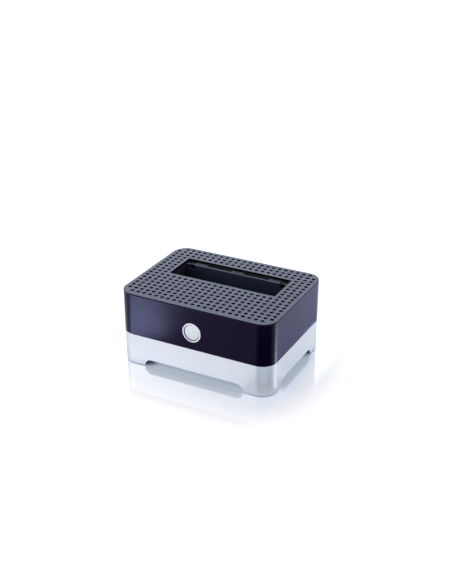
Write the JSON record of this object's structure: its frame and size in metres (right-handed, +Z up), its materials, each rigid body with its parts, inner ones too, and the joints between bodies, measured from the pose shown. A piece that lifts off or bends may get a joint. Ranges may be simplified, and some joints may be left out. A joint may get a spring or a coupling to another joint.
{
  "type": "hard drive docking station",
  "caption": "Desk-top docking station for a bare hard drive: silver base with arched feet, black housing, dimpled top with a deep slot and dust flap, round front button, sockets behind.",
  "frame": {"origin": "on the desk surface, under the middle of the box", "axes": "+X to the right seen from the front, +Y to the back, +Z up"},
  "size_m": [0.146, 0.1106, 0.068],
  "materials": {
    "base_silver": "satin silver lacquer",
    "foot_rubber": "matt",
    "housing_black": "polished",
    "cover_black": "semi-gloss",
    "liner_black": "matt",
    "flap_black": "matt",
    "pin_steel": "bright",
    "spring_steel": "bright",
    "bezel_silver": "satin",
    "light_ring": "smoked, clear",
    "cap_silver": "satin silver lacquer",
    "switch_black": "matt",
    "switch_can": "bright",
    "lamp_clear": "clear",
    "board_green": "solder mask",
    "screw_steel": "zinc plated",
    "socket_black": "matt",
    "contact_gold": "gold plated",
    "chip_black": "matt",
    "can_sleeve": "sleeved",
    "port_steel": "nickel plated",
    "tongue_white": "matt",
    "paddle_black": "matt"
  },
  "bodies": {
    "housing": {"base_housing": "base_silver", "rubber_feet": "foot_rubber", "upper_housing": "housing_black", "top_cover": "cover_black", "bay_liner": "liner_black", "flap_pin": "pin_steel", "flap_springs": "spring_steel", "button_bezel": "bezel_silver", "button_light_ring": "light_ring", "button_switch": "switch_can", "status_lights": "lamp_clear", "front_board": "board_green", "front_board_screws": "screw_steel", "board_header": "socket_black", "main_board": "board_green", "sata_receptacle": "socket_black", "sata_contacts": "contact_gold", "bridge_chip": "chip_black", "capacitors": "can_sleeve", "usb_port": "port_steel", "usb_tongue": "tongue_white", "usb_contacts": "contact_gold", "esata_port": "port_steel", "esata_tongue": "socket_black", "esata_contacts": "contact_gold", "power_inlet": "socket_black", "power_inlet_pin": "pin_steel", "rocker_frame": "switch_black", "rocker_terminals": "contact_gold", "board_screws": "screw_steel", "housing_screws": "screw_steel"},
    "flap": {"dust_flap": "flap_black"},
    "button": {"button_cap": "cap_silver", "switch_plunger": "switch_black"},
    "rocker": {"rocker_paddle": "paddle_black"}
  },
  "joints": [
    {"name": "flap_hinge", "type": "hinge", "parent": "housing", "child": "flap", "pos_m": [0, 0.03035, 0.0639], "axis": [-1, 0, 0], "range_deg": [0, 90]},
    {"name": "button_press", "type": "slide", "parent": "housing", "child": "button", "axis": [0, 1, 0], "range_m": [0, 0.0006], "stiffness_N_per_m": 1500},
    {"name": "rocker_switch", "type": "hinge", "parent": "housing", "child": "rocker", "pos_m": [-0.042, 0.0505, 0.0185], "axis": [0, 0, -1], "range_deg": [0, 20]}
  ]
}
